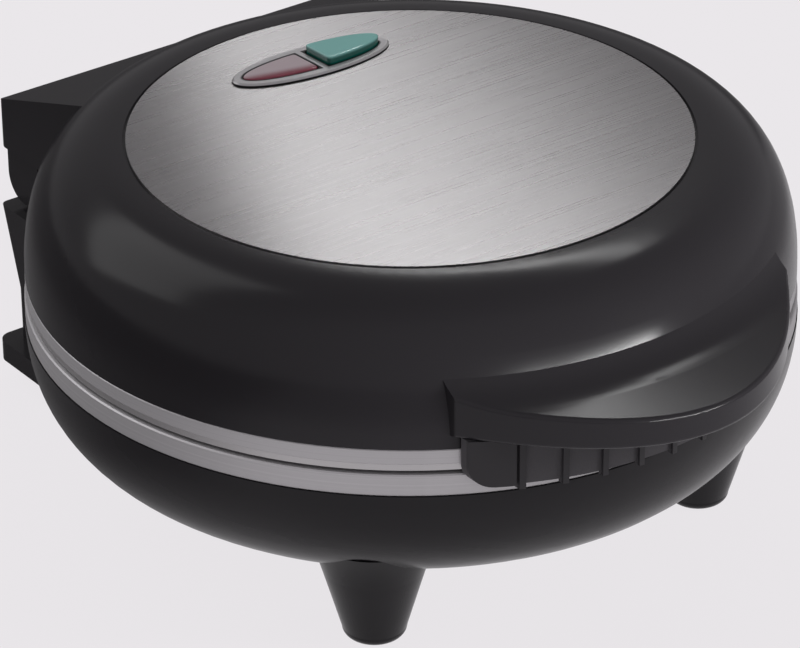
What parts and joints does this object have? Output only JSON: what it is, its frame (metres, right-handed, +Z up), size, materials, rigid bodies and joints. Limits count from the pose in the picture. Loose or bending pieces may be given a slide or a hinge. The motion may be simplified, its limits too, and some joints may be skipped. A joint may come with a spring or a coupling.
{
  "type": "omelette maker",
  "caption": "Round countertop omelette maker: a domed lid with a front handle and pilot lights hinges on a legged bowl base, with facing half-moon cooking pockets inside.",
  "frame": {"origin": "on the floor, midway between the handle's front tip and the hinge housing's back, on the left-right centre plane", "axes": "+Z up, +Y from the handle at the front towards the hinge at the back, +X to the right of someone who faces the handle"},
  "size_m": [0.2254, 0.2658, 0.1192],
  "materials": {
    "black_plastic": "glossy moulded plastic",
    "guard_plastic": "glossy moulded plastic, a little greyer",
    "inner_plastic": "matte moulded plastic",
    "foot_rubber": "matte rubber",
    "inlet_rubber": "matte rubber-like plastic",
    "band_metal": "dull spun metal",
    "plate_coating": "cast aluminium under a dark non-stick coating",
    "element_sheath": "annealed steel tube",
    "shield_steel": "bare pressed sheet",
    "screw_steel": "zinc-plated steel",
    "pin_steel": "ground steel",
    "disc_steel": "straight-brushed stainless steel",
    "bezel_grey": "silver-grey lacquered plastic",
    "lens_red": "translucent pale red plastic",
    "lens_green": "translucent blue-green plastic",
    "lamp_glass": "clear glass bulb",
    "terminal_nylon": "natural nylon",
    "control_body": "dark phenolic moulding",
    "lead_sleeve": "woven glass sleeve on silicone, shown plain",
    "fuse_can": "plain metal can"
  },
  "bodies": {
    "base": {"base_housing": "black_plastic", "foot_pads": "foot_rubber", "base_rim_band": "band_metal", "lower_cooking_plate": "plate_coating", "lower_heating_element": "element_sheath", "lower_heat_shield": "shield_steel", "base_screws": "screw_steel", "hinge_pins": "pin_steel", "cord_inlet": "inlet_rubber", "inlet_nut": "inner_plastic", "terminal_block": "terminal_nylon", "thermostat": "control_body", "base_leads": "lead_sleeve"},
    "lid": {"lid_cover": "black_plastic", "steel_disc": "disc_steel", "light_bezel": "bezel_grey", "power_lens": "lens_red", "ready_lens": "lens_green", "lamp_holder": "inner_plastic", "neon_lamps": "lamp_glass", "handle_guard": "guard_plastic", "lid_rim_band": "band_metal", "upper_cooking_plate": "plate_coating", "upper_heating_element": "element_sheath", "upper_heat_shield": "shield_steel", "lid_screws": "screw_steel", "thermal_fuse": "fuse_can", "lead_clamp": "inner_plastic", "lid_leads": "lead_sleeve"}
  },
  "joints": [
    {"name": "lid_hinge", "type": "hinge", "parent": "base", "child": "lid", "pos_m": [0, 0.1241, 0.0691], "axis": [-1, 0, 0], "range_deg": [0, 95]}
  ]
}
